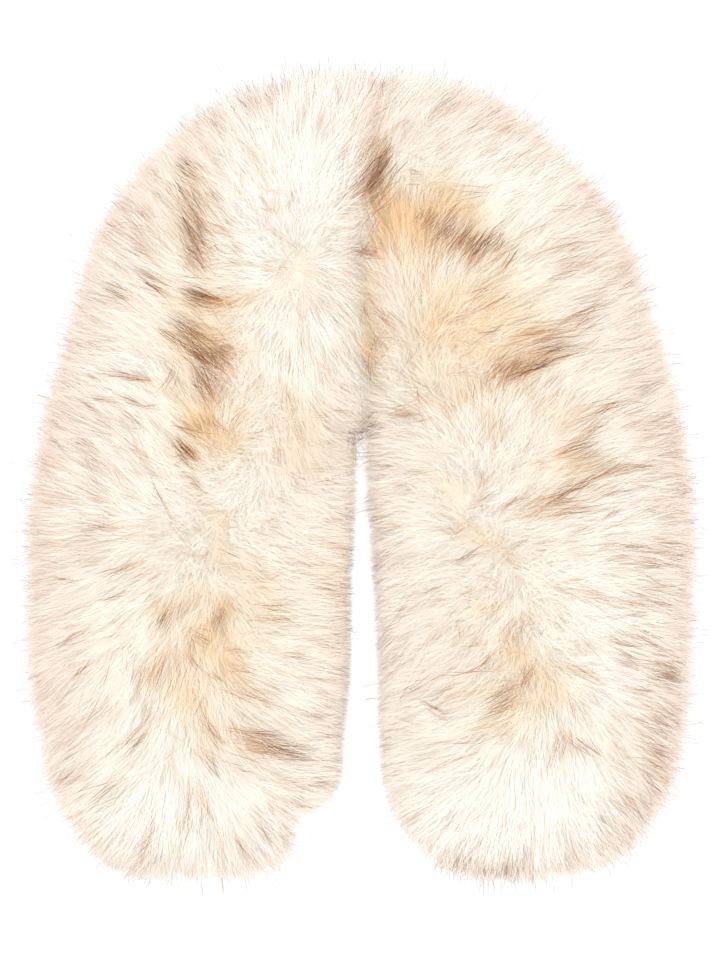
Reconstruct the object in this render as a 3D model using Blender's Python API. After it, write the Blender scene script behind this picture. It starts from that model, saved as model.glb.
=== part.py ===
"""Fur collar wrap laid flat: a fur-cloth tube bent into an upturned U.

Two ground-cloth panels lie on each other and are sewn together all round.
The pile stands on them: a domed reach over each stretch, left and right,
that meets its neighbour along the crease at centre back, and a pressed
layer under each stretch. +Y points to the back of the neck, +Z up.
"""

from collections import namedtuple
from math import cos, pi, sqrt

import bmesh
import bpy
import numpy as np
from mathutils import Matrix

MM = 0.001

# ---- driving sizes, in mm -------------------------------------------------
CLOTH = 2.0            # thickness of the ground cloth
GAP = 0.3              # between neighbouring pieces
SEAM_IN = 28.0         # the panels' edges lie this far inside the pile's reach
PRESSED = 12.0         # pile under the back panel, pressed by the weight
CROWN = 7.0            # the panels rise this much along the middle of a leg
NOSE = 22.0            # height at which the pile reaches furthest sideways
TUCK = 14.0            # the pile's footprint lies this far inside its reach
END_UNDER = 16.0       # length over which an end rounds underneath
END_OVER = 62.0        # length over which an end rounds on top
ROUND_OUT = 2.5        # exponent of the dome, across
ROUND_UP = 0.52        # exponent of the dome, upwards
STEP = 19.0            # spacing of the lofted sections along the strip
DOME = 14              # facets over the dome
ACROSS = 7             # facets across a panel

CROTCH = (0.0, 30.0)   # where the two legs part
CROTCH_R = 4.0         # the inner edge turns round it on this radius

# One row for each section, from the leg's end to the centre back. In and out
# are the ends of the section on the pile's inner and outer outline, crest is
# the height of the dome there.
Section = namedtuple("Section", "name in_x in_y out_x out_y crest")

LEFT = [
    Section("tip", -72, -269, -148, -269, 62),
    Section("end", -53, -261, -168, -261, 64),
    Section("corner", -44, -246, -184, -246, 66),
    Section("notch", -39, -226, -199, -226, 66),
    Section("hem", -17, -212, -207, -212, 68),
    Section("lower", -11, -171, -216, -171, 67),
    Section("middle", -7, -128, -223, -128, 71),
    Section("upper", -6, -75, -224, -75, 67),
    Section("chest", -4, -21, -223, -21, 71),
]
RIGHT = [
    Section("tip", 76, -269, 123, -269, 62),
    Section("end", 53, -262, 158, -262, 64),
    Section("corner", 37, -246, 183, -246, 66),
    Section("low", 22, -227, 197, -227, 67),
    Section("hem", 15, -207, 208, -207, 68),
    Section("lower", 12, -171, 217, -171, 70),
    Section("middle", 11, -128, 221, -128, 68),
    Section("upper", 8, -75, 223, -75, 71),
    Section("chest", 5, -21, 223, -21, 69),
]

# The fan of sections round the crotch: side angle above the X axis, and the
# reach from the crotch on the left and on the right.
Fan = namedtuple("Fan", "name angle left right crest_left crest_right")

FAN = [
    Fan("front", 3, 213, 215, 73, 71),
    Fan("shoulder", 19, 209, 211, 74, 70),
    Fan("turn", 37, 222, 221, 74, 72),
    Fan("nape", 54, 235, 233, 75, 72),
    Fan("crown", 71, 241, 242, 71, 66),
    Fan("crease", 90, 241, 241, 54, 54),
]

# The crease at centre back sways across its section: share of the way from
# the crotch to the top, and the offset to the right.
Sway = namedtuple("Sway", "share right")

CREASE = [
    Sway(0.00, 0.0),
    Sway(0.25, -1.0),
    Sway(0.50, -4.0),
    Sway(0.62, 4.0),
    Sway(0.82, 10.0),
    Sway(1.00, 7.0),
]
CREASE_WIDTH = 2.6     # sections over which the sway dies out

COLOURS = {
    "pile_left": (0.93, 0.86, 0.76),
    "pile_right": (0.91, 0.82, 0.70),
    "pile_under_left": (0.86, 0.77, 0.64),
    "pile_under_right": (0.86, 0.77, 0.64),
    "front_panel": (0.78, 0.66, 0.50),
    "back_panel": (0.74, 0.62, 0.47),
}


def clear_scene():
    for obj in list(bpy.data.objects):
        bpy.data.objects.remove(obj, do_unlink=True)


# ---- sections along the strip ----------------------------------------------
def fan_rows(side):
    """The sections that turn round the crotch, side -1 left or +1 right."""
    rows = []
    for f in FAN:
        a = f.angle / 180 * pi
        reach = f.left if side < 0 else f.right
        crest = f.crest_left if side < 0 else f.crest_right
        x, y = side * cos(a), sqrt(1 - cos(a) ** 2)
        rows.append(
            (
                CROTCH[0] + CROTCH_R * x,
                CROTCH[1] + CROTCH_R * y,
                CROTCH[0] + reach * x,
                CROTCH[1] + reach * y,
                crest,
            )
        )
    return rows


def through(s, rows, at):
    """A smooth curve through the rows at the distances s, read at one distance
    before the last row but one."""
    i = int(np.clip(np.searchsorted(s, at) - 1, 0, len(s) - 3))
    h = s[i + 1] - s[i]
    t = (at - s[i]) / h

    def slope(k):
        a, b = max(k - 1, 0), min(k + 1, len(s) - 1)
        return (rows[b] - rows[a]) / (s[b] - s[a])

    return (
        (2 * t**3 - 3 * t**2 + 1) * rows[i]
        + (t**3 - 2 * t**2 + t) * h * slope(i)
        + (3 * t**2 - 2 * t**3) * rows[i + 1]
        + (t**3 - t**2) * h * slope(i + 1)
    )


def stations(table, side):
    """Sections from the leg's end to the crease: inner point, outer point,
    crest, distance from the end, and how much of the crease's sway it takes."""
    rows = np.array([row[1:] for row in table] + fan_rows(side), float)
    beyond = np.array(fan_rows(-side)[-2])
    beyond[4] = 2 * rows[-1][4] - rows[-2][4]
    rows = np.vstack([rows, beyond])
    middle = (rows[:, 0:2] + rows[:, 2:4]) / 2
    s = np.concatenate([[0], np.cumsum(np.linalg.norm(np.diff(middle, axis=0), axis=1))])
    panel_end, crease = SEAM_IN, s[-2]
    wanted = [0.0, 3.0, 7.0, 13.0, 20.0, panel_end - GAP - 1.0, panel_end - GAP, panel_end]
    wanted += list(np.linspace(panel_end, crease, round((crease - panel_end) / STEP) + 1))[1:]
    found = []
    for at in wanted:
        row = through(s, rows, at)
        left = (crease - at) / STEP / CREASE_WIDTH
        found.append((*row, at, max(0.0, 1 - left) ** 2))
    return np.array(found)


def place(st, d, z, aside=0.0):
    """A point of a section, d mm from its inner end, z mm up."""
    inner, outer = st[0:2], st[2:4]
    width = np.linalg.norm(outer - inner)
    along = (outer - inner) / width
    right = np.array([along[1], -along[0]])
    share = d / width
    sway = np.interp(share, [c.share for c in CREASE], [c.right for c in CREASE])
    at = inner + along * d + right * (st[6] * sway + aside)
    return (at[0], at[1], z)


def width_of(st):
    return float(np.linalg.norm(st[2:4] - st[0:2]))


# ---- heights ---------------------------------------------------------------
def filled(distance, length):
    """0 at an end, 1 from `length` on, on a quarter circle."""
    x = min(max(distance / length, 0.03), 1.0)
    return sqrt(1 - (1 - x) ** 2)


def floor_of(st):
    return NOSE * 0.9 * (1 - filled(st[5], END_UNDER))


def dome_of(st, share):
    rise = (1 - abs(2 * share - 1) ** ROUND_OUT) ** ROUND_UP
    return NOSE + (st[4] - NOSE) * rise * filled(st[5], END_OVER)


def cloth_of(st, share):
    """Height of the back panel's lower face. It crowns along a leg and lies
    flat at the ends and in the crease."""
    along = min(max((st[5] - SEAM_IN) / 70, 0.0), 1.0) * (1 - st[6])
    return PRESSED + CROWN * along * (1 - (2 * share - 1) ** 2)


def panel_span(st, grow=0.0):
    width = width_of(st)
    seam = min(SEAM_IN, 0.36 * width)
    return seam - grow, width - seam + grow


# ---- closed lofts ----------------------------------------------------------
def loft(name, loops, seat):
    """A closed body through equal loops of points; `seat` is the number of
    points of the first run of each loop, and the rest run back beside it."""
    bm = bmesh.new()
    rings = [[bm.verts.new([c * MM for c in p]) for p in loop] for loop in loops]
    count = len(rings[0])
    for a, b in zip(rings, rings[1:]):
        for j in range(count):
            k = (j + 1) % count
            if j < seat:
                bm.faces.new((a[j], a[k], b[k]))
                bm.faces.new((a[j], b[k], b[j]))
            else:
                bm.faces.new((a[j], a[k], b[j]))
                bm.faces.new((a[k], b[k], b[j]))
    for ring in (rings[0], rings[-1]):
        first, back = ring[:seat], ring[seat:][::-1]
        i = j = 0
        while i < len(first) - 1 or j < len(back) - 1:
            if j == len(back) - 1 or (
                i < len(first) - 1 and i / (len(first) - 1) <= j / (len(back) - 1)
            ):
                bm.faces.new((first[i], first[i + 1], back[j]))
                i += 1
            else:
                bm.faces.new((first[i], back[j + 1], back[j]))
                j += 1
    bmesh.ops.recalc_face_normals(bm, faces=bm.faces[:])
    mesh = bpy.data.meshes.new(name)
    bm.to_mesh(mesh)
    bm.free()
    if sum(p.area * p.normal.z * p.center.z for p in mesh.polygons) < 0:
        mesh.flip_normals()
    mesh.shade_smooth()
    mesh.set_sharp_from_angle(angle=pi / 3.5)
    obj = bpy.data.objects.new(name, mesh)
    bpy.context.scene.collection.objects.link(obj)
    material = bpy.data.materials.new(name)
    material.use_nodes = True
    shader = material.node_tree.nodes["Principled BSDF"]
    shader.inputs["Base Color"].default_value = (*COLOURS[name], 1)
    shader.inputs["Roughness"].default_value = 0.95
    shader.inputs["Metallic"].default_value = 0.0
    mesh.materials.append(material)
    return obj


def clear_of_crease(sts, st, side):
    """Each stretch stops half a gap short of the crease."""
    return side * GAP / 2 if st is sts[-1 if side < 0 else 0] else 0.0


def pile(name, sts, side):
    """The reach of the fur over one stretch, open below where the panels and
    the pressed pile lie."""
    loops = []
    for st in sts:
        aside = clear_of_crease(sts, st, side)
        width, low = width_of(st), floor_of(st)
        tuck = min(TUCK, 0.2 * width)
        over = [(tuck, low), (0.3 * tuck, low + 0.42 * (NOSE - low))]
        for k in range(DOME + 1):
            share = (1 - cos(pi * k / DOME)) / 2
            over.append((width * share, dome_of(st, share)))
        over += [(width - d, z) for d, z in reversed(over[:2])]
        start, stop = panel_span(st, GAP)
        inside = st[5] >= SEAM_IN - GAP - 0.5
        under = [(stop, low)]
        for k in range(ACROSS + 1):
            share = 1 - k / ACROSS
            roof = cloth_of(st, share) + 2 * CLOTH + 2 * GAP
            under.append((start + (stop - start) * share, roof if inside else low))
        under.append((start, low))
        if not inside:
            under[0] = (stop + 0.02 * width, low)
            under[-1] = (start - 0.02 * width, low)
        loops.append([place(st, d, z, aside) for d, z in over + under])
    return loft(name, loops, DOME + 5)


def layer(name, sts, side, lower, upper):
    """A layer between two heights over the panels' outline."""
    loops = []
    for st in sts:
        aside = clear_of_crease(sts, st, side) if side else 0.0
        start, stop = panel_span(st)
        shares = [k / ACROSS for k in range(ACROSS + 1)]
        loop = [(start + (stop - start) * q, lower(st, q)) for q in shares]
        loop += [(start + (stop - start) * q, upper(st, q)) for q in reversed(shares)]
        loops.append([place(st, d, z, aside) for d, z in loop])
    return loft(name, loops, ACROSS + 1)


def build():
    clear_scene()
    left = list(stations(LEFT, -1))
    right = list(stations(RIGHT, 1))[::-1]
    on_left = [st for st in left if st[5] >= SEAM_IN]
    on_right = [st for st in right if st[5] >= SEAM_IN]
    pile("pile_left", left, -1)
    pile("pile_right", right, 1)
    for name, sts, side in (
        ("pile_under_left", on_left, -1),
        ("pile_under_right", on_right, 1),
    ):
        layer(name, sts, side, lambda st, q: 0.0, lambda st, q: cloth_of(st, q) - GAP)
    whole = on_left + on_right[1:]
    layer("back_panel", whole, 0, cloth_of, lambda st, q: cloth_of(st, q) + CLOTH)
    layer(
        "front_panel",
        whole,
        0,
        lambda st, q: cloth_of(st, q) + CLOTH + GAP,
        lambda st, q: cloth_of(st, q) + 2 * CLOTH + GAP,
    )
    centre()


def centre():
    """The origin goes on the ground, under the middle of the whole reach."""
    meshes = [obj.data for obj in bpy.context.scene.objects if obj.type == "MESH"]
    points = np.array([v.co[:] for mesh in meshes for v in mesh.vertices])
    middle = (points.min(0) + points.max(0)) / 2
    for mesh in meshes:
        mesh.transform(Matrix.Translation((-middle[0], -middle[1], 0)))


build()
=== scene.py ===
"""Looks of the fur collar wrap: an undercoat and long combed pile over the
fixed frame, on a pale floor in soft light, seen from straight above."""

import math

import bpy
import numpy as np
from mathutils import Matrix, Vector
from mathutils.kdtree import KDTree


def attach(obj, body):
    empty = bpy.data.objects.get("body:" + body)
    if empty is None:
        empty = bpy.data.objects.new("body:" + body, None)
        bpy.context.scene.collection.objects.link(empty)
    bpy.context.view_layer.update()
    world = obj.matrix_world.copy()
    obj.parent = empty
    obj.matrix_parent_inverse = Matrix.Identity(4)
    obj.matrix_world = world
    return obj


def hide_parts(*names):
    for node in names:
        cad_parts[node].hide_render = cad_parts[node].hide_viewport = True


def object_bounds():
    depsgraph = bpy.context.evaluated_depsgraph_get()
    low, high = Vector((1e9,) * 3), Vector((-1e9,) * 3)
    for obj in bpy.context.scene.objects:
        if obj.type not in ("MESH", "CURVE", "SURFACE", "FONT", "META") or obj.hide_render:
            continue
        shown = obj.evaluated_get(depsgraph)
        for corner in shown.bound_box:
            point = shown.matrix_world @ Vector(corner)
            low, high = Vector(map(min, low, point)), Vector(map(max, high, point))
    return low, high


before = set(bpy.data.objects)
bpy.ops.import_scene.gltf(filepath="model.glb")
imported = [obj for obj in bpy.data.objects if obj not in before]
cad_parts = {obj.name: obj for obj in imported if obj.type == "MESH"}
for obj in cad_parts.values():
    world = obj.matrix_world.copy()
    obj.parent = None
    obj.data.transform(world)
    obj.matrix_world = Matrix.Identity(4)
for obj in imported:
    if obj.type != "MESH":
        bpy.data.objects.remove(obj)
CAD_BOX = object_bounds()
RNG = np.random.default_rng(20)

# ---- the collar's form, in mm, as its solids have it ------------------------
NOSE = 22.0
END_OVER = 62.0
END_UNDER = 16.0
ROUND_OUT = 2.5
ROUND_UP = 0.52
CROTCH = (0.0, 30.0)
CROTCH_R = 4.0
STEP = 19.0
CREASE_WIDTH = 2.6
MIDDLE = np.array([-0.275, 1.0])  # of the outline, which lies over the origin
CAD_BOX_MM = np.array([CAD_BOX[1][0], CAD_BOX[1][1]]) * 1000

# name, in_x, in_y, out_x, out_y, crest
LEFT = [
    ("tip", -72, -269, -148, -269, 62),
    ("end", -53, -261, -168, -261, 64),
    ("corner", -44, -246, -184, -246, 66),
    ("notch", -39, -226, -199, -226, 66),
    ("hem", -17, -212, -207, -212, 68),
    ("lower", -11, -171, -216, -171, 67),
    ("middle", -7, -128, -223, -128, 71),
    ("upper", -6, -75, -224, -75, 67),
    ("chest", -4, -21, -223, -21, 71),
]
RIGHT = [
    ("tip", 76, -269, 123, -269, 62),
    ("end", 53, -262, 158, -262, 64),
    ("corner", 37, -246, 183, -246, 66),
    ("low", 22, -227, 197, -227, 67),
    ("hem", 15, -207, 208, -207, 68),
    ("lower", 12, -171, 217, -171, 70),
    ("middle", 11, -128, 221, -128, 68),
    ("upper", 8, -75, 223, -75, 71),
    ("chest", 5, -21, 223, -21, 69),
]
# name, angle, reach left, reach right, crest left, crest right
FAN = [
    ("front", 3, 213, 215, 73, 71),
    ("shoulder", 19, 209, 211, 74, 70),
    ("turn", 37, 222, 221, 74, 72),
    ("nape", 54, 235, 233, 75, 72),
    ("crown", 71, 241, 242, 71, 66),
    ("crease", 90, 241, 241, 54, 54),
]
# share of the crease, offset to the right
CREASE = [(0.0, 0.0), (0.25, -1.0), (0.5, -4.0), (0.62, 4.0), (0.82, 10.0), (1.0, 7.0)]

# ---- the picture's frame ----------------------------------------------------
MM_PER_PX = 0.667
PX_AT = np.array([361.0, 478.0])  # where the tables' own zero lies


def to_mm(x, y):
    """From the picture's frame to the ground, in mm."""
    return np.stack(
        [
            (np.asarray(x, float) - PX_AT[0]) * MM_PER_PX - MIDDLE[0],
            (PX_AT[1] - np.asarray(y, float)) * MM_PER_PX - MIDDLE[1],
        ],
        -1,
    )


# ---- how the fur lies and is coloured ---------------------------------------
# Which way the fur lies at places of the picture's frame: x, y, the way its tips
# point (degrees, anticlockwise from the right), and how flat it lies, from 0
# (upright) to 1. It stands up in stars and partings and lies down round them.
FLOW_LEFT = [
    # the pale lobe of the neck, a star
    (300, 235, 90, 0.1), (302, 190, 88, 0.5), (300, 130, 92, 0.9), (298, 85, 92, 1.0),
    (340, 85, 80, 1.0), (262, 95, 112, 1.0), (225, 112, 125, 1.0), (345, 140, 58, 0.9),
    (342, 190, 42, 0.8), (352, 222, 18, 0.9), (352, 255, -15, 0.9), (348, 290, -42, 0.9),
    (334, 330, -72, 0.9), (305, 345, -90, 0.9), (278, 320, -112, 0.7), (256, 262, 172, 0.7),
    (256, 200, 142, 0.7), (252, 145, 126, 0.9),
    # the neck's outer side
    (205, 135, 140, 1.0), (196, 200, 128, 1.0), (192, 250, 130, 1.0), (160, 180, 142, 1.0),
    (130, 235, 148, 1.0), (102, 290, 152, 1.0), (215, 300, 160, 0.8), (185, 305, 160, 1.0),
    (205, 385, 122, 0.9), (215, 345, 150, 0.8), (150, 285, 152, 1.0), (118, 377, 170, 1.0),
    (82, 360, 160, 1.0), (62, 410, 152, 1.0), (90, 440, 155, 1.0), (130, 415, 145, 1.0),
    (92, 480, 148, 1.0), (186, 445, 136, 1.0), (195, 482, 148, 0.8), (155, 480, 125, 0.9),
    # the leg, a star whose lower half falls towards the end
    (200, 540, 180, 0.1), (100, 525, 172, 1.0), (45, 520, 178, 1.0), (48, 590, 184, 1.0),
    (72, 541, 183, 1.0), (115, 572, 203, 1.0), (140, 576, 214, 1.0), (110, 598, 206, 1.0),
    (70, 640, 206, 1.0), (80, 672, 228, 1.0), (55, 700, 212, 1.0), (165, 620, 240, 0.9),
    (155, 675, 254, 1.0), (98, 712, 224, 1.0), (134, 740, 221, 1.0), (68, 752, 218, 1.0),
    (105, 800, 220, 1.0), (140, 860, 230, 1.0), (188, 800, 262, 1.0), (205, 850, 272, 1.0),
    (240, 848, 298, 1.0), (272, 834, 304, 1.0), (302, 815, 330, 1.0), (315, 800, 345, 1.0),
    (240, 558, -18, 0.7), (290, 560, -6, 1.0), (340, 520, 0, 1.0), (345, 590, -2, 1.0),
    (280, 606, -3, 1.0), (290, 617, -3, 1.0), (335, 650, -4, 1.0), (235, 648, -8, 0.8),
    (250, 670, -22, 0.9), (262, 698, -26, 0.9), (290, 748, -7, 1.0), (330, 740, -6, 1.0),
    (325, 785, -10, 1.0), (218, 730, -54, 0.8), (218, 765, -52, 0.9), (250, 762, -18, 0.9),
    (220, 620, -100, 0.5), (200, 660, -80, 0.6), (195, 700, -92, 0.7),
    # the inner side
    (285, 400, -86, 0.8), (280, 452, -86, 0.8), (240, 418, 50, 0.6), (245, 380, 100, 0.4),
    (245, 470, 200, 0.2), (325, 380, -30, 0.9), (352, 360, -50, 0.9), (335, 420, -14, 0.9),
    (348, 440, -8, 1.0), (330, 480, 0, 1.0), (300, 500, -20, 0.7),
]
FLOW_RIGHT = [
    # the neck
    (380, 75, 75, 1.0), (378, 112, 45, 1.0), (425, 94, 24, 1.0), (440, 75, 45, 1.0),
    (500, 112, 30, 1.0), (540, 130, 38, 1.0), (470, 134, 32, 1.0), (510, 160, 34, 1.0),
    (590, 185, 36, 1.0), (630, 245, 32, 1.0), (455, 160, 25, 1.0), (378, 160, 48, 0.9),
    (372, 195, 50, 0.9), (415, 175, -8, 0.6), (470, 197, 6, 0.8), (455, 215, 50, 0.8),
    (435, 240, 52, 0.8), (480, 242, 50, 1.0), (500, 255, 42, 0.9), (405, 225, 90, 1.0),
    (385, 245, 108, 1.0), (412, 300, 88, 0.8), (375, 290, 165, 0.8), (395, 330, 120, 0.4),
    (440, 290, 60, 0.6), (567, 211, 10, 1.0), (535, 227, 34, 1.0), (568, 246, 18, 1.0),
    (570, 268, 15, 1.0), (629, 285, 42, 1.0), (655, 320, 20, 1.0), (486, 292, 30, 0.8),
    (495, 304, 28, 0.9), (496, 331, 22, 1.0), (545, 345, 12, 1.0), (585, 312, 20, 1.0),
    (588, 325, 25, 1.0), (455, 340, 10, 0.4), (646, 387, 24, 1.0), (608, 405, 17, 1.0),
    (592, 426, 34, 1.0), (588, 455, 19, 1.0), (578, 482, 27, 1.0), (642, 466, 5, 1.0),
    (635, 485, -6, 1.0), (576, 506, 8, 1.0), (610, 512, 28, 1.0), (582, 528, 20, 1.0),
    (690, 420, 4, 1.0), (692, 500, 0, 1.0),
    # the leg
    (450, 415, 120, 0.7), (480, 435, 92, 0.8), (505, 425, 62, 0.8), (465, 470, 90, 0.2),
    (525, 440, 58, 0.7), (415, 450, 180, 0.9), (378, 450, 182, 1.0), (378, 500, 196, 1.0),
    (410, 490, 184, 0.9), (385, 552, 210, 1.0), (376, 620, 200, 1.0), (430, 500, 180, 0.6),
    (482, 498, 30, 0.5), (510, 500, 34, 0.8), (462, 555, 202, 0.6), (425, 597, 195, 0.8),
    (400, 612, 242, 0.8), (640, 546, -3, 1.0), (670, 552, -5, 1.0), (602, 597, -18, 1.0),
    (638, 611, 2, 1.0), (655, 600, -12, 1.0), (645, 640, -20, 1.0), (632, 644, -9, 1.0),
    (674, 668, -34, 1.0), (560, 560, -5, 0.8), (560, 610, -15, 0.6), (585, 672, -20, 0.9),
    (640, 688, -13, 1.0), (672, 680, -20, 1.0), (660, 720, -30, 1.0), (658, 758, -30, 1.0),
    (655, 790, -40, 1.0), (636, 812, -50, 1.0), (600, 818, -42, 0.9), (625, 832, -55, 1.0),
    (597, 846, -46, 1.0), (560, 860, -75, 1.0), (520, 870, -88, 1.0), (480, 868, -96, 1.0),
    (440, 840, -115, 1.0), (405, 800, -140, 1.0), (392, 760, -160, 1.0), (522, 650, -60, 0.1),
    (470, 662, 222, 0.7), (460, 672, 190, 0.9), (422, 682, 214, 1.0), (397, 695, 224, 1.0),
    (430, 706, 200, 0.9), (496, 705, 209, 0.9), (410, 719, 190, 1.0), (457, 739, 188, 1.0),
    (452, 757, 200, 1.0), (430, 790, 215, 0.9), (558, 745, 258, 0.9), (568, 746, -72, 0.9),
    (589, 748, -35, 1.0), (570, 710, -75, 0.8), (525, 760, -92, 0.8), (520, 810, -92, 0.8),
    (470, 800, -130, 0.8), (580, 790, -60, 0.9), (428, 640, 240, 0.8), (395, 610, 243, 1.0),
    (505, 640, -110, 0.4), (480, 600, 200, 0.4),
]

# Tan undercoat that shows through: x, y, half width, half height, turn, how much
TAN = [
    (428, 222, 62, 42, 0, 1.00),
    (392, 250, 34, 60, 0, 0.60),
    (470, 330, 92, 84, 0, 0.74),
    (206, 432, 46, 44, 0, 0.72),
    (308, 440, 46, 62, 0, 0.55),
    (212, 650, 62, 72, 0, 0.74),
    (252, 592, 64, 44, 0, 0.52),
    (470, 640, 62, 90, 0, 0.36),
    (520, 684, 44, 46, 0, 0.68),
    (448, 470, 56, 80, 0, 0.20),
    (562, 446, 44, 74, 0, 0.40),
    (212, 330, 52, 70, 0, 0.46),
    (196, 220, 32, 62, 0, 0.36),
    (250, 735, 64, 34, 0, 0.34),
    (120, 600, 40, 110, 0, 0.24),
    (330, 590, 34, 110, 0, 0.46),
    (385, 600, 22, 120, 0, 0.10),
    (378, 160, 20, 30, 0, 0.60),
    (300, 240, 40, 40, 0, 0.16),
    (200, 540, 60, 44, 0, 0.26),
    (525, 615, 40, 40, 0, 0.24),
]
# Tan on the side of the crease that lies lower, in the same columns: partly undercoat that shows
# through, partly painted shade of the crease
CREASE_TAN_AND_SHADE = [
    (384, 215, 14, 40, 0, 0.90),
    (372, 330, 14, 100, 0, 0.75),
]
# Small deep-tan spots between the tufts, in the same columns
SPOTS = [
    (384, 215, 12, 22, 0, 0.90),
    (400, 205, 34, 10, 12, 0.80),
    (440, 222, 26, 10, 20, 0.90),
    (376, 240, 7, 12, 0, 1.00),
    (205, 419, 16, 8, -10, 0.90),
    (196, 494, 7, 10, 0, 0.70),
    (170, 393, 10, 5, 10, 0.70),
    (262, 390, 12, 12, 0, 0.50),
    (247, 411, 12, 5, 0, 0.60),
    (365, 350, 8, 14, 0, 0.80),
    (531, 360, 14, 6, -10, 0.90),
    (460, 395, 7, 7, 0, 0.50),
    (488, 420, 9, 10, -30, 0.55),
    (478, 536, 20, 6, -10, 0.50),
    (155, 608, 10, 7, -20, 0.90),
    (230, 615, 12, 10, 0, 0.50),
    (150, 680, 14, 10, 0, 0.40),
    (282, 673, 14, 4, 0, 0.45),
    (196, 700, 24, 12, 0, 0.45),
    (205, 740, 22, 16, 0, 0.45),
    (245, 745, 18, 6, 0, 0.50),
    (485, 607, 14, 5, 0, 0.60),
    (512, 652, 18, 12, 0, 0.50),
    (556, 690, 10, 14, 0, 0.50),
    (490, 726, 26, 8, 0, 0.55),
    (560, 760, 9, 9, 0, 0.60),
    (540, 704, 12, 9, 0, 0.50),
    (590, 640, 12, 4, 0, 0.30),
    (470, 690, 24, 8, -20, 0.40),
]
# Whitest fur, in the same columns
WHITE = [
    (300, 200, 70, 120, 0, 1.00),
    (170, 812, 110, 62, 0, 0.75),
    (520, 815, 112, 56, 0, 1.00),
    (320, 100, 120, 34, 0, 0.90),
    (520, 170, 90, 50, 0, 0.45),
    (110, 560, 50, 130, 0, 0.25),
    (620, 560, 42, 130, 0, 0.30),
    (130, 300, 36, 90, 20, 0.30),
]
# Smoky haze of fine dark-tipped hair, in the same columns
DARK = [
    (196, 208, 22, 56, -14, 0.55),
    (200, 262, 18, 22, 0, 0.45),
    (200, 306, 34, 18, 6, 0.70),
    (204, 350, 40, 24, 14, 0.90),
    (206, 382, 28, 16, 30, 0.60),
    (188, 448, 13, 16, 40, 0.60),
    (380, 162, 12, 28, 0, 0.80),
    (374, 190, 8, 12, 0, 0.60),
    (476, 242, 42, 14, 12, 0.55),
    (548, 336, 40, 10, -8, 0.45),
    (508, 372, 18, 14, 40, 0.45),
    (540, 366, 26, 8, -22, 0.55),
    (590, 410, 34, 10, -20, 0.25),
    (586, 480, 40, 24, -24, 0.30),
    (560, 508, 24, 8, 0, 0.30),
    (280, 746, 32, 8, 6, 0.35),
    (497, 706, 20, 6, -24, 0.30),
    (364, 420, 10, 18, 0, 0.45),
]

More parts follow.
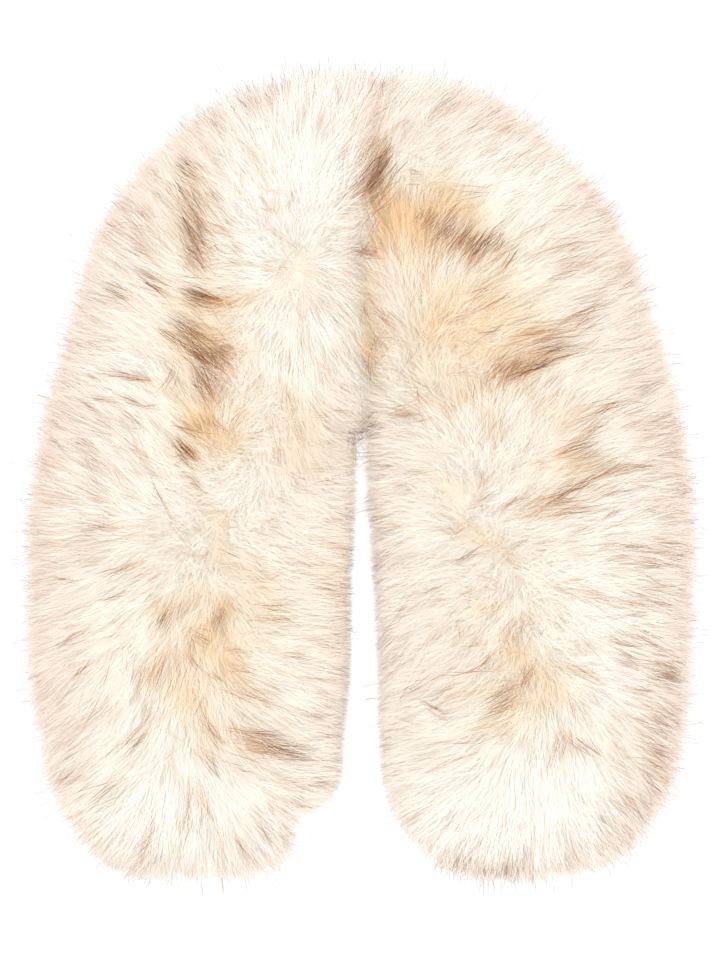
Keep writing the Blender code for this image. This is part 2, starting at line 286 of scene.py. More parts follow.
# Sheaves of dark-tipped guard hair: x, y of the dark part's middle, the way the
# tips point, the dark part's length, how many hairs, half their spread
# sideways, how dark. Lengths in the picture's frame.
SHEAVES_LEFT = [
    (233, 106, 128, 12, 12, 7, 0.6), (270, 95, 122, 12, 10, 7, 0.5), (213, 127, 130, 14, 8, 6, 0.5),
    (251, 152, 128, 20, 4, 3, 0.7), (257, 146, 126, 12, 3, 1, 0.8), (186, 169, 150, 20, 22, 6, 0.9),
    (180, 190, 142, 16, 18, 5, 1.0), (190, 206, 130, 24, 22, 9, 0.8), (193, 222, 124, 24, 26, 9, 0.8),
    (196, 240, 122, 22, 26, 8, 0.8), (190, 258, 135, 18, 18, 8, 0.8), (205, 262, 128, 18, 16, 9, 0.7),
    (214, 200, 132, 16, 8, 4, 0.7), (222, 232, 155, 20, 8, 5, 0.5), (236, 253, 140, 10, 4, 2, 0.9),
    (235, 265, 162, 12, 4, 2, 0.9), (141, 210, 128, 24, 3, 2, 0.9), (125, 200, 140, 12, 4, 3, 0.6),
    (158, 196, 130, 12, 3, 2, 0.8), (142, 256, 150, 24, 8, 5, 0.6), (152, 282, 152, 22, 16, 5, 0.9),
    (116, 292, 154, 22, 14, 5, 0.9), (198, 297, 160, 30, 30, 5, 1.0), (266, 212, 155, 10, 3, 2, 0.6),
    (284, 270, 60, 20, 3, 2, 0.5), (298, 134, 96, 12, 3, 3, 0.5), (356, 92, 66, 16, 5, 4, 0.5),
    (180, 332, 148, 26, 24, 7, 1.0), (200, 345, 140, 28, 30, 8, 1.0), (216, 356, 135, 24, 24, 8, 0.9),
    (228, 352, 150, 18, 12, 6, 0.7), (206, 382, 122, 26, 20, 6, 1.0), (176, 380, 60, 16, 8, 4, 0.8),
    (118, 375, 172, 30, 8, 3, 0.8), (134, 380, 175, 18, 5, 2, 1.0), (98, 399, 175, 18, 6, 2, 0.8),
    (92, 408, 158, 14, 5, 2, 0.9), (130, 402, 155, 20, 7, 3, 1.0), (150, 408, 186, 12, 3, 1, 0.8),
    (58, 405, 152, 24, 5, 4, 0.6), (106, 420, 158, 22, 8, 7, 0.5), (131, 418, 140, 20, 9, 4, 0.8),
    (138, 442, 118, 24, 6, 4, 0.6), (85, 441, 158, 14, 6, 3, 0.9), (60, 440, 145, 18, 6, 5, 0.6),
    (92, 464, 144, 24, 9, 4, 0.7), (56, 458, 142, 20, 6, 6, 0.5), (92, 484, 148, 22, 7, 5, 0.6),
    (114, 471, 122, 14, 4, 3, 0.6), (102, 496, 160, 14, 4, 4, 0.4), (140, 470, 150, 24, 6, 6, 0.5),
    (186, 449, 134, 22, 26, 4, 1.0), (190, 430, 158, 20, 10, 4, 1.0), (182, 459, 200, 12, 6, 3, 0.8),
    (196, 482, 146, 14, 8, 2, 0.9), (160, 490, 118, 34, 3, 1, 0.9), (215, 421, 130, 22, 6, 3, 0.7),
    (239, 419, 45, 18, 4, 4, 0.8), (305, 341, -86, 20, 5, 6, 0.5), (283, 404, -86, 20, 4, 3, 0.6),
    (280, 453, -88, 28, 4, 4, 0.6), (207, 505, 160, 22, 3, 3, 0.6), (204, 387, 128, 14, 10, 7, 0.7),
    (100, 525, 172, 22, 8, 3, 0.8), (72, 541, 183, 18, 4, 1, 0.7), (66, 578, 182, 20, 6, 2, 0.7),
    (115, 572, 204, 26, 9, 3, 0.8), (139, 576, 214, 22, 4, 2, 0.7), (110, 598, 206, 20, 5, 2, 0.9),
    (158, 588, 235, 16, 3, 4, 0.4), (182, 565, 235, 12, 3, 2, 0.6), (236, 560, -16, 16, 5, 6, 0.5),
    (173, 610, 245, 24, 12, 7, 0.6), (165, 618, 242, 16, 14, 4, 0.9), (70, 640, 206, 20, 9, 3, 0.8),
    (83, 672, 230, 18, 5, 2, 0.8), (118, 625, 214, 16, 4, 5, 0.4), (221, 618, 245, 18, 10, 4, 0.9),
    (205, 638, -30, 12, 8, 4, 0.8), (278, 605, -3, 22, 7, 2, 0.8), (287, 617, -3, 24, 7, 2, 1.0),
    (236, 648, -4, 20, 4, 2, 0.6), (302, 654, -10, 22, 5, 4, 0.6), (303, 652, 12, 20, 4, 4, 0.5),
    (200, 663, -50, 12, 5, 2, 0.9), (219, 677, -35, 12, 6, 3, 0.9), (250, 669, -20, 18, 7, 5, 0.7),
    (262, 698, -26, 34, 10, 5, 0.8), (161, 670, 256, 30, 20, 12, 0.5), (142, 675, 250, 22, 8, 4, 0.6),
    (99, 711, 226, 26, 5, 2, 0.7), (134, 740, 221, 26, 14, 4, 0.9), (150, 712, 242, 16, 7, 4, 0.6),
    (69, 752, 218, 20, 9, 4, 0.7), (218, 730, -55, 22, 9, 4, 0.8), (219, 762, -50, 20, 12, 6, 0.8),
    (272, 732, -3, 34, 14, 4, 0.9), (290, 747, -7, 44, 26, 5, 1.0), (250, 762, -16, 22, 6, 4, 0.7),
    (105, 797, 218, 40, 12, 6, 0.7), (66, 780, 215, 18, 9, 6, 0.6), (76, 816, 220, 14, 9, 5, 0.6),
    (188, 798, 262, 26, 5, 3, 0.7), (206, 802, -70, 22, 7, 4, 0.6), (188, 832, 256, 22, 7, 3, 0.9),
    (198, 826, -72, 18, 4, 2, 0.6), (246, 849, -60, 20, 5, 2, 0.9), (272, 833, -55, 22, 6, 4, 0.7),
    (140, 861, 228, 24, 14, 6, 0.6), (222, 886, -80, 24, 3, 1, 0.7), (312, 803, -10, 20, 6, 3, 0.6),
    (295, 778, -8, 24, 8, 8, 0.5), (108, 235, 148, 20, 8, 10, 0.5), (82, 330, 158, 22, 10, 12, 0.5),
    (330, 700, -8, 16, 8, 14, 0.6), (342, 640, -3, 14, 12, 26, 0.6), (350, 570, 0, 12, 10, 30, 0.5),
    (165, 230, 140, 16, 4, 6, 0.5), (68, 610, 200, 18, 6, 10, 0.4), (90, 560, 190, 18, 4, 8, 0.4),
]
SHEAVES_RIGHT = [
    (382, 85, 62, 22, 4, 5, 0.5), (384, 111, 25, 12, 4, 2, 0.8), (422, 95, 22, 16, 6, 4, 0.5),
    (500, 113, 30, 18, 9, 4, 0.9), (470, 134, 32, 18, 5, 3, 0.7), (511, 160, 35, 18, 6, 4, 0.7),
    (455, 160, 30, 16, 4, 4, 0.5), (415, 174, -10, 10, 5, 3, 0.8), (414, 188, -8, 8, 3, 1, 0.9),
    (470, 197, 6, 30, 7, 4, 0.7), (456, 214, 50, 16, 7, 3, 0.9), (378, 150, 52, 22, 20, 8, 0.9),
    (380, 168, 50, 24, 40, 9, 1.0), (374, 184, 48, 22, 30, 8, 1.0), (374, 200, 46, 16, 14, 6, 0.8),
    (370, 225, 60, 14, 8, 6, 0.7), (368, 246, 40, 16, 10, 6, 0.8), (362, 252, 170, 16, 8, 4, 0.8),
    (440, 232, 52, 16, 20, 10, 0.8), (458, 240, 50, 18, 26, 9, 0.9), (478, 244, 52, 20, 34, 10, 1.0),
    (496, 240, 50, 16, 16, 8, 0.9), (504, 262, 55, 22, 10, 6, 0.8), (430, 222, 48, 14, 14, 8, 0.7),
    (474, 258, 55, 16, 14, 8, 0.7), (567, 211, 10, 18, 4, 2, 0.6), (536, 228, 34, 22, 4, 2, 0.7),
    (566, 246, 18, 36, 9, 5, 0.7), (571, 264, 15, 26, 8, 5, 0.6), (566, 277, 15, 22, 8, 3, 0.9),
    (629, 285, 43, 22, 6, 3, 0.9), (592, 264, 18, 14, 4, 4, 0.5), (486, 292, 30, 18, 6, 3, 0.8),
    (496, 304, 28, 20, 8, 3, 0.9), (496, 331, 22, 18, 6, 2, 0.9), (534, 333, 6, 30, 14, 5, 0.7),
    (556, 342, 12, 30, 18, 6, 0.9), (586, 311, 20, 34, 14, 5, 0.9), (588, 325, 25, 24, 10, 5, 0.7),
    (570, 352, 15, 26, 10, 5, 0.7), (506, 368, 48, 20, 20, 7, 0.9), (538, 366, 25, 36, 20, 4, 1.0),
    (518, 358, 50, 16, 12, 6, 0.7), (552, 352, 8, 30, 10, 4, 0.8), (530, 395, 48, 18, 10, 10, 0.5),
    (560, 392, 55, 20, 10, 10, 0.5), (646, 387, 25, 16, 6, 2, 0.9), (608, 406, 17, 32, 14, 5, 0.8),
    (593, 424, 36, 22, 14, 5, 0.8), (640, 412, 6, 24, 8, 6, 0.5), (664, 422, 3, 20, 12, 6, 0.6),
    (582, 446, 18, 26, 16, 6, 0.8), (596, 460, 24, 26, 12, 5, 0.7), (578, 484, 27, 44, 14, 3, 1.0),
    (610, 468, 26, 30, 12, 5, 0.7), (642, 466, 4, 34, 6, 2, 0.9), (612, 488, 24, 26, 10, 5, 0.7),
    (638, 486, -6, 26, 8, 6, 0.5), (566, 500, 8, 26, 10, 4, 0.8), (580, 509, 8, 34, 12, 3, 0.9),
    (609, 512, 30, 16, 6, 2, 0.8), (582, 528, 22, 14, 4, 1, 0.9), (648, 440, 0, 20, 6, 6, 0.5),
    (655, 506, -6, 18, 6, 4, 0.6), (676, 508, -6, 12, 5, 2, 0.8), (638, 546, -3, 30, 8, 3, 0.8),
    (672, 552, -4, 20, 16, 5, 0.8), (630, 556, -5, 22, 6, 5, 0.6), (660, 563, -3, 24, 8, 3, 0.8),
    (656, 588, -12, 26, 8, 4, 0.6), (602, 597, -18, 26, 7, 3, 0.6), (636, 612, 4, 24, 5, 2, 0.9),
    (652, 600, -10, 26, 8, 4, 0.7), (672, 604, -28, 18, 8, 6, 0.7), (645, 638, -22, 26, 8, 4, 0.7),
    (630, 644, -8, 22, 5, 2, 0.8), (628, 654, -30, 16, 5, 4, 0.7), (674, 668, -32, 22, 17, 7, 0.8),
    (660, 655, -18, 22, 8, 5, 0.7), (400, 411, 190, 18, 5, 3, 0.7), (407, 416, -6, 18, 5, 2, 0.8),
    (367, 428, 20, 16, 14, 5, 0.9), (375, 450, 10, 20, 6, 4, 0.6), (370, 504, 200, 20, 10, 5, 0.6),
    (374, 500, 215, 16, 6, 6, 0.5), (378, 525, 205, 18, 8, 10, 0.4), (388, 552, 212, 20, 6, 6, 0.4),
    (374, 567, 200, 10, 6, 3, 0.7), (448, 476, -75, 10, 3, 2, 0.7), (450, 408, 118, 14, 8, 7, 0.6),
    (479, 404, 128, 14, 4, 5, 0.5), (483, 498, 30, 18, 5, 2, 0.8), (511, 500, 34, 22, 7, 5, 0.7),
    (462, 555, 202, 30, 6, 2, 0.8), (426, 590, 196, 26, 4, 1, 0.8), (455, 575, 200, 14, 3, 2, 0.6),
    (400, 608, 242, 20, 6, 4, 0.7), (425, 640, 238, 22, 5, 6, 0.5), (458, 635, -86, 12, 2, 1, 0.6),
    (522, 622, 60, 16, 10, 8, 0.8), (505, 642, -60, 14, 5, 4, 0.6), (523, 674, 252, 18, 10, 3, 0.9),
    (480, 662, 222, 24, 5, 2, 0.7), (460, 672, 188, 36, 4, 1, 0.8), (424, 680, 214, 40, 6, 4, 0.7),
    (396, 694, 224, 34, 8, 4, 0.7), (430, 705, 148, 20, 9, 3, 0.8), (436, 694, 206, 30, 6, 4, 0.7),
    (497, 705, 209, 26, 14, 4, 1.0), (505, 690, 215, 26, 10, 5, 0.6), (409, 719, 170, 18, 4, 1, 0.8),
    (458, 739, 188, 40, 5, 2, 0.7), (450, 758, 202, 38, 5, 2, 0.6), (558, 745, 256, 18, 9, 4, 0.8),
    (568, 746, -70, 18, 5, 3, 0.7), (589, 748, -36, 24, 7, 3, 0.9), (570, 710, -76, 20, 3, 1, 0.7),
    (583, 672, -18, 22, 8, 4, 0.6), (588, 648, -35, 22, 3, 3, 0.6), (640, 688, -12, 18, 5, 1, 0.9),
    (635, 662, -14, 24, 8, 5, 0.7), (672, 684, -20, 22, 20, 10, 0.7), (666, 720, -28, 22, 18, 10, 0.6),
    (640, 716, -26, 22, 6, 6, 0.6), (658, 754, -30, 24, 20, 9, 0.7), (645, 740, -25, 20, 8, 6, 0.6),
    (656, 790, -40, 16, 12, 6, 0.8), (637, 812, -50, 20, 22, 9, 0.7), (626, 834, -56, 20, 15, 6, 0.7),
    (600, 818, -42, 16, 7, 4, 0.8), (598, 847, -45, 16, 10, 6, 0.6), (458, 821, 228, 10, 3, 1, 0.8),
    (395, 660, 210, 18, 6, 12, 0.4), (384, 740, 200, 14, 10, 16, 0.5), (500, 870, -95, 14, 22, 16, 0.7),
    (455, 862, -102, 14, 16, 14, 0.7), (560, 862, -72, 14, 12, 16, 0.5), (592, 190, 34, 16, 12, 12, 0.6),
    (540, 140, 38, 16, 8, 10, 0.5), (612, 210, 35, 16, 12, 10, 0.6), (645, 280, 28, 16, 10, 12, 0.5),
    (600, 300, 24, 20, 6, 8, 0.5), (505, 420, 60, 24, 5, 10, 0.4), (625, 345, 14, 20, 8, 12, 0.4),
    (376, 311, 130, 26, 9, 4, 0.8), (364, 312, 100, 18, 6, 3, 0.7), (364, 254, 165, 18, 10, 4, 0.8),
    (366, 280, 142, 24, 12, 8, 0.6), (368, 368, -100, 30, 10, 5, 0.8), (374, 368, -80, 26, 8, 4, 0.8),
    (352, 396, 150, 20, 10, 3, 0.7), (356, 408, 95, 18, 12, 4, 0.8), (372, 426, 45, 20, 14, 5, 0.9),
    (364, 424, 120, 16, 8, 4, 0.8), (352, 438, 98, 26, 14, 4, 0.9), (378, 340, 60, 22, 5, 6, 0.5),
]
# Where the edge's fringe is darker: x, y, half width, half height, turn, much
FRINGE = [
    (650, 760, 60, 130, -24, 0.60),
    (690, 560, 40, 170, 0, 0.45),
    (485, 875, 70, 26, 0, 0.60),
    (245, 110, 70, 36, -30, 0.60),
    (130, 850, 70, 50, 30, 0.35),
    (610, 230, 60, 80, 40, 0.45),
    (346, 640, 16, 180, 0, 0.55),
    (45, 480, 40, 220, 0, 0.35),
    (372, 600, 16, 180, 0, 0.25),
]


def patch(table, px):
    """How much of a table's patches lies at each place of the picture's frame."""
    found = np.zeros(len(px))
    for x, y, half_wide, half_high, turn, much in table:
        a = math.radians(turn)
        dx, dy = px[:, 0] - x, px[:, 1] - y
        u = (dx * math.cos(a) + dy * math.sin(a)) / half_wide
        v = (-dx * math.sin(a) + dy * math.cos(a)) / half_high
        found = np.maximum(found, much * np.exp(-0.9 * (u * u + v * v) ** 1.3))
    return found


def in_picture(at):
    """The places of points of the ground, in mm, in the picture's frame."""
    return np.stack(
        [
            (at[:, 0] + MIDDLE[0]) / MM_PER_PX + PX_AT[0],
            PX_AT[1] - (at[:, 1] + MIDDLE[1]) / MM_PER_PX,
        ],
        -1,
    )


# ---- sections ---------------------------------------------------------------
def fan_rows(side):
    rows = []
    for _, angle, left, right, crest_left, crest_right in FAN:
        a = math.radians(angle)
        x, y = side * math.cos(a), math.sin(a)
        reach = left if side < 0 else right
        rows.append(
            (
                CROTCH[0] + CROTCH_R * x,
                CROTCH[1] + CROTCH_R * y,
                CROTCH[0] + reach * x,
                CROTCH[1] + reach * y,
                crest_left if side < 0 else crest_right,
            )
        )
    return rows


def through(s, rows, at):
    i = int(np.clip(np.searchsorted(s, at) - 1, 0, len(s) - 3))
    h = s[i + 1] - s[i]
    t = (at - s[i]) / h

    def slope(k):
        a, b = max(k - 1, 0), min(k + 1, len(s) - 1)
        return (rows[b] - rows[a]) / (s[b] - s[a])

    return (
        (2 * t**3 - 3 * t**2 + 1) * rows[i]
        + (t**3 - 2 * t**2 + t) * h * slope(i)
        + (3 * t**2 - 2 * t**3) * rows[i + 1]
        + (t**3 - t**2) * h * slope(i + 1)
    )


def stations(table, side, first, count):
    """Sections from `first` mm inside the leg's end to the crease."""
    rows = np.array([row[1:] for row in table] + fan_rows(side), float)
    beyond = np.array(fan_rows(-side)[-2])
    beyond[4] = 2 * rows[-1][4] - rows[-2][4]
    rows = np.vstack([rows, beyond])
    middle = (rows[:, 0:2] + rows[:, 2:4]) / 2
    s = np.concatenate([[0], np.cumsum(np.linalg.norm(np.diff(middle, axis=0), axis=1))])
    crease = s[-2]
    share = np.linspace(0, 1, count)
    wanted = first + (crease - first) * (0.25 * share**2.2 + 0.75 * share)
    found = []
    for at in wanted:
        left = (crease - at) / STEP / CREASE_WIDTH
        found.append((*through(s, rows, at), at, max(0.0, 1 - left) ** 2))
    return np.array(found)


def filled(distance, length):
    x = np.clip(distance / length, 0.02, 1.0)
    return np.sqrt(1 - (1 - x) ** 2)


def skin(table, side, inset, drop, count, across, base=0.6):
    """The surface that lies `inset` mm inside the pile's reach, and `drop` mm
    under its crest: a grid of points, a row for each section."""
    sts = stations(table, side, inset, count)
    run = np.linspace(0, 1, across)
    low, over = run < 0.1, (run >= 0.1) & (run <= 0.9)
    grid = np.zeros((count, across, 3))
    for i, st in enumerate(sts):
        inner, outer = st[0:2], st[2:4]
        width = np.linalg.norm(outer - inner)
        along = (outer - inner) / width
        right = np.array([along[1], -along[0]])
        edge = min(inset, 0.3 * width)
        free = width - 2 * edge
        e = st[5] - inset
        nose = NOSE * 0.85
        floor = base + (nose - base) * 0.9 * (1 - filled(e, END_UNDER * 0.8))
        tuck = min(11.0, 0.2 * free)
        share = np.empty(across)
        share[over] = (1 - np.cos(math.pi * (run[over] - 0.1) / 0.8)) / 2
        side_run = np.where(run < 0.5, run, 1 - run) / 0.1
        d, z = np.empty(across), np.empty(across)
        d[over] = free * share[over]
        rise = (1 - np.abs(2 * share[over] - 1) ** ROUND_OUT) ** ROUND_UP
        z[over] = nose + (st[4] - drop - nose) * rise * filled(e, END_OVER - inset)
        under = ~over
        bulge = np.sqrt(np.clip(1 - side_run[under] ** 2, 0, 1))
        at = tuck * (1 - np.sqrt(1 - (1 - side_run[under]) ** 2))
        d[under] = np.where(run[under] < 0.5, at, free - at)
        z[under] = floor + (nose - floor) * (1 - bulge)
        d += edge
        sway = np.interp(d / width, [c[0] for c in CREASE], [c[1] for c in CREASE])
        flat = inner + np.outer(d, along) + np.outer(st[6] * sway, right)
        grid[i, :, :2] = flat - MIDDLE
        grid[i, :, 2] = z
    return grid


def outline(table, side, count=90):
    """The reach on the ground of one stretch's pile, as a ring of points."""
    sts = stations(table, side, 0.0, count)
    share = np.linspace(0.04, 0.96, 12)
    crease = sts[-1, 0:2] + share[:, None] * (sts[-1, 2:4] - sts[-1, 0:2])
    crease[:, 0] += np.interp(share, [c[0] for c in CREASE], [c[1] for c in CREASE])
    ring = np.vstack([sts[:, 2:4], crease[::-1], sts[::-1, 0:2]])
    return ring - MIDDLE


def outside(at, ring, block=20000):
    """How far points lie outside a ring, in mm, and negative inside it."""
    a, b = ring, np.roll(ring, -1, axis=0)
    keep = np.linalg.norm(b - a, axis=1) > 1e-6
    a, b = a[keep], b[keep]
    ab = b - a
    found = np.empty(len(at))
    for k in range(0, len(at), block):
        p = at[k : k + block, None, :]
        t = np.clip(((p - a) * ab).sum(-1) / (ab * ab).sum(-1), 0, 1)
        gap = np.linalg.norm(p - a - t[..., None] * ab, axis=-1).min(1)
        y = p[..., 1]
        cross = (a[:, 1] > y) != (b[:, 1] > y)
        with np.errstate(divide="ignore", invalid="ignore"):
            x = a[:, 0] + (y - a[:, 1]) / ab[:, 1] * ab[:, 0]
        inside = (cross & (p[..., 0] < x)).sum(1) % 2 == 1
        found[k : k + block] = np.where(inside, -gap, gap)
    return found


def unit(v):
    return v / np.maximum(np.linalg.norm(v, axis=-1, keepdims=True), 1e-9)


def sample(grid, count, weight=None):
    """Places on a grid's surface, by area and weight, and the outward normals."""
    a, b, c = grid[:-1, :-1], grid[1:, :-1], grid[:-1, 1:]
    d = grid[1:, 1:]
    area = np.linalg.norm(np.cross(b - a, c - a), axis=-1) + np.linalg.norm(
        np.cross(b - d, c - d), axis=-1
    )
    if weight is not None:
        area = area * weight(((a + b + c + d) / 4).reshape(-1, 3)).reshape(area.shape)
    odds = np.cumsum(area.ravel())
    pick = np.searchsorted(odds, RNG.random(count) * odds[-1])
    i, j = np.unravel_index(pick, area.shape)
    u, v = RNG.random(count)[:, None], RNG.random(count)[:, None]
    at = (
        (1 - u) * (1 - v) * a[i, j]
        + u * (1 - v) * b[i, j]
        + (1 - u) * v * c[i, j]
        + u * v * d[i, j]
    )
    along = (b[i, j] - a[i, j]) * (1 - v) + (d[i, j] - c[i, j]) * v
    over = (c[i, j] - a[i, j]) * (1 - u) + (d[i, j] - b[i, j]) * u
    normal = unit(np.cross(over, along))
    if normal[:, 2].mean() < 0:
        normal = -normal
    return at, normal


def ripple(at, size, seed, octaves=3):
    """Smooth numbers from about -1 to 1 that vary over `size` mm."""
    rng = np.random.default_rng(seed)
    found, much = np.zeros(len(at)), 0.0
    for k in range(octaves * 4):
        reach = size / (1.6 ** (k // 4))
        way = rng.random() * 2 * math.pi
        wave = 2 * math.pi / reach * np.array([math.cos(way), math.sin(way)])
        share = 0.7 ** (k // 4)
        found += share * np.sin(at[:, :2] @ wave + rng.random() * 6.28)
        much += share
    return found / much * 1.8


FLOW = {
    side: (
        table[:, :2],
        np.stack([np.cos(np.radians(table[:, 2])), np.sin(np.radians(table[:, 2]))], -1)
        * table[:, 3:4],
    )
    for side, table in ((-1, np.array(FLOW_LEFT, float)), (1, np.array(FLOW_RIGHT, float)))
}
RING = {-1: outline(LEFT, -1), 1: outline(RIGHT, 1)}
CELL = 2.5


def field(ring):
    """How far places lie outside a ring, worked out on a grid of cells."""
    low = ring.min(0) - 40
    count = np.ceil((ring.max(0) + 40 - low) / CELL).astype(int) + 1
    x, y = np.meshgrid(*(low[a] + CELL * np.arange(count[a]) for a in (0, 1)), indexing="ij")
    return low, outside(np.column_stack([x.ravel(), y.ravel()]), ring).reshape(count)


FIELD = {side: field(ring) for side, ring in RING.items()}


def past(at, side):
    """How far points lie outside the outline of one stretch, in mm."""
    low, far = FIELD[side]
    p = (at - low) / CELL
    p = np.clip(p, 0, np.array(far.shape) - 1.001)
    i = p.astype(int)
    u, v = (p - i).T
    i, j = i.T
    return (
        far[i, j] * (1 - u) * (1 - v)
        + far[i + 1, j] * u * (1 - v)
        + far[i, j + 1] * (1 - u) * v
        + far[i + 1, j + 1] * u * v
    )


def lay(px, side, block=8000):
    """Which way the fur lies at each place, and how flat, from 0 to 1."""
    places, ways = FLOW[side]
    found = np.empty((len(px), 2))
    for k in range(0, len(px), block):
        far = ((px[k : k + block, None] - places) ** 2).sum(-1)
        share = 1 / (far + 14.0**2) ** 2
        found[k : k + block] = (share / share.sum(1, keepdims=True)) @ ways
    flat = np.linalg.norm(found, axis=1)
    return found / np.maximum(flat, 1e-6)[:, None], np.clip(flat, 0, 1)


def leave(at, side, n):
    """How far each hair may pass the outline: mostly it ends short of it, so that
    the edge thins out; less into the gap, and over the crease from the left."""
    low, spread = np.full(n, -11.0), np.full(n, 13.0)
    gap = (np.abs(at[:, 0]) < 60) & (at[:, 1] < 26)
    low[gap], spread[gap] = -5.0, 5.0
    crotch = gap & (at[:, 1] > -24)
    low[crotch], spread[crotch] = -3.0, 7.0
    crease = (np.abs(at[:, 0]) < 75) & (at[:, 1] >= 26)
    low[crease], spread[crease] = (0.0, 7.0) if side < 0 else (-3.0, 5.0)
    top = (np.abs(at[:, 0]) < 90) & (at[:, 1] > 205)
    low[top], spread[top] = -10.0, 14.5
    return low + spread * RNG.random(n) ** 0.8 + RNG.exponential(0.8, n)


def sheltered(points):
    """Keeps strands within the reach that the collar may have."""
    z = points[..., 2]
    z = np.where(z > 68, 68 + 16 * (1 - np.exp(-np.maximum(z - 68, 0) / 16)), z)
    points[..., 2] = np.maximum(z, 0.5 + 0.7 * RNG.random(len(points))[:, None])
    most = CAD_BOX_MM + np.array([10.5, 12.0])
    points[..., :2] = np.clip(points[..., :2], -most, most)
    return points


# ---- hair -------------------------------------------------------------------
# where each strand's cross-sections are along it, and how wide it is there
BODY = (np.array([0.0, 0.55, 1.0]), np.array([0.9, 0.85, 0.0]))
GUARD = (np.array([0.0, 0.38, 0.72, 1.0]), np.array([0.7, 1.0, 0.85, 0.0]))


def grow(side, grid, tufts, each, shape=BODY, length=1.0, width=0.25, spread=6.5,
         loose=1.0, gather=(0.0, 0.42), pressed=False, rise=1.0):
    """Tufts whose hairs come together a little towards their tips. A row for
    each hair: points, the way across it, its normal, width, where it is seen
    in the picture's frame, where its tip is there, and its tuft."""
    taus = shape[0]
    at, normal = sample(grid, tufts, lambda c: 1.9 - lay(in_picture(c), side)[1])
    px = in_picture(at)
    way, flat = lay(px, side)
    n = len(at)
    jitter = np.radians(6 * loose + 38 * (1 - flat)) * RNG.normal(0, 1, n)
    jitter += np.radians(7) * ripple(at, 26, 6)
    c, s = np.cos(jitter), np.sin(jitter)
    along = np.stack([way[:, 0] * c - way[:, 1] * s, way[:, 0] * s + way[:, 1] * c,
                      np.full(n, -0.2)], -1)
    along = unit(along - (along * normal).sum(-1, keepdims=True) * normal)
    across = np.cross(normal, along)
    up = np.clip((normal[:, 2] - 0.15) / 0.6, 0, 1)
    root = np.radians(68 - 18 * flat + RNG.normal(0, 6, n))
    tip = np.radians(np.where(up > 0.5, 34 - 29 * flat, 20) + RNG.normal(0, 6, n) * loose)
    long = (26 + (4 + 12 * flat) * up) * length * RNG.uniform(0.85, 1.15, n)
    if pressed:
        root, tip, long = root * 0 + 0.2, tip * 0, 24 * RNG.uniform(0.7, 1.2, n)
    k = np.repeat(np.arange(n), each)
    m = len(k)
    fan = np.radians(4 * loose + 13 * (1 - flat[k])) * RNG.normal(0, 1, m)
    a = along[k] * np.cos(fan)[:, None] + across[k] * np.sin(fan)[:, None]
    b = across[k] * np.cos(fan)[:, None] - along[k] * np.sin(fan)[:, None]
    nn = normal[k]
    r = spread * np.sqrt(RNG.random(m))
    th = RNG.random(m) * 2 * math.pi
    off = a * (r * np.cos(th))[:, None] + b * (r * np.sin(th))[:, None]
    sink = nn * RNG.uniform(-1.0, 2.0, m)[:, None]
    close = RNG.uniform(*gather, m)
    reach = RNG.uniform(0.62, 1.08, m) * long[k]
    fray = unit(RNG.normal(0, 1, (m, 3))) * (reach * RNG.uniform(0.0, 0.045, m))[:, None]
    curl = RNG.normal(0, 0.07, n)[k] + RNG.normal(0, 0.03, m)
    p0, p1 = root[k], tip[k] + RNG.normal(0, np.radians(5), m)

    def axis(tau, reach):
        p = p0 + (p1 - p0) * tau
        turn = np.where(np.abs(p1 - p0) < 1e-3, 1e-3, p1 - p0)
        go = (np.sin(p) - np.sin(p0)) / turn
        lift = -(np.cos(p) - np.cos(p0)) / turn
        return (
            a * (reach * go)[:, None]
            + nn * (reach * lift * rise)[:, None]
            + b * (reach * curl * tau * tau)[:, None]
        )

    base = at[k] - sink
    end = base + axis(1.0, reach) + off * (1 - close)[:, None]
    over = past(end[:, :2], side) - leave(at[k], side, m)
    go = np.maximum(np.linalg.norm((end - base)[:, :2], axis=1), 1.0)
    reach = reach * np.clip(1 - np.maximum(over, 0) / go, 0.2, 1)
    points = np.stack(
        [base + axis(t, reach) + off * (1 - close * t)[:, None] + fray * t * t for t in taus],
        1,
    )
    points = sheltered(points)
    if pressed:
        points[..., 2] = np.clip(points[..., 2], 0.25, 3.2) * RNG.uniform(0.4, 1, m)[:, None]
    run = unit(points[:, -1] - points[:, 0])
    side_way, face = blade(run, nn)
    wide = width * RNG.uniform(0.7, 1.25, m)
    seen = points[:, 0] + (points[:, -1] - points[:, 0]) * 0.6
    return points, side_way, face, wide, in_picture(seen), in_picture(points[:, -1]), k


def blade(run, nn):
    """The way across each strand, and a soft normal between its own and that of
    the skin under it."""
    m = len(run)
    across = unit(np.cross(run, nn) + 1e-6)
    roll = np.clip(RNG.normal(0, np.radians(30), m), -1.1, 1.1)[:, None]
    across = unit(across * np.cos(roll) + np.cross(run, across) * np.sin(roll))
    own = unit(np.cross(across, run))
    own = np.where((own * nn).sum(-1, keepdims=True) < 0, -own, own)
    return across, unit(0.08 * own + 0.92 * nn)


def tone_of(px, tuft, side):
    """How tan the hair at a place is: 0 is white, 0.75 deep tan."""
    m = len(px)
    tan, white, spot = patch(TAN, px), patch(WHITE, px), patch(SPOTS, px)
    # on the right, the crease's tan joins the tan; part of it is painted shade of the crease
    if side > 0:
        tan = np.maximum(tan, patch(CREASE_TAN_AND_SHADE, px))
    at = to_mm(px[:, 0], px[:, 1])
    mottle = 0.5 + 0.5 * ripple(at, 44, 11)
    fine = ripple(at, 13, 12)
    tan = tan * (0.62 + 0.62 * mottle)
    tone = 0.18 + 0.30 * tan + 0.20 * tan**2 - 0.15 * white * (1 - np.clip(tan, 0, 1))
    tone += 0.03 * (mottle - 0.5) + 0.02 * fine + 0.34 * spot
    tone += RNG.normal(0, 0.025, tuft.max() + 1)[tuft] + RNG.normal(0, 0.03, m)
    return np.clip(0.92 * tone, 0.0, 0.60)


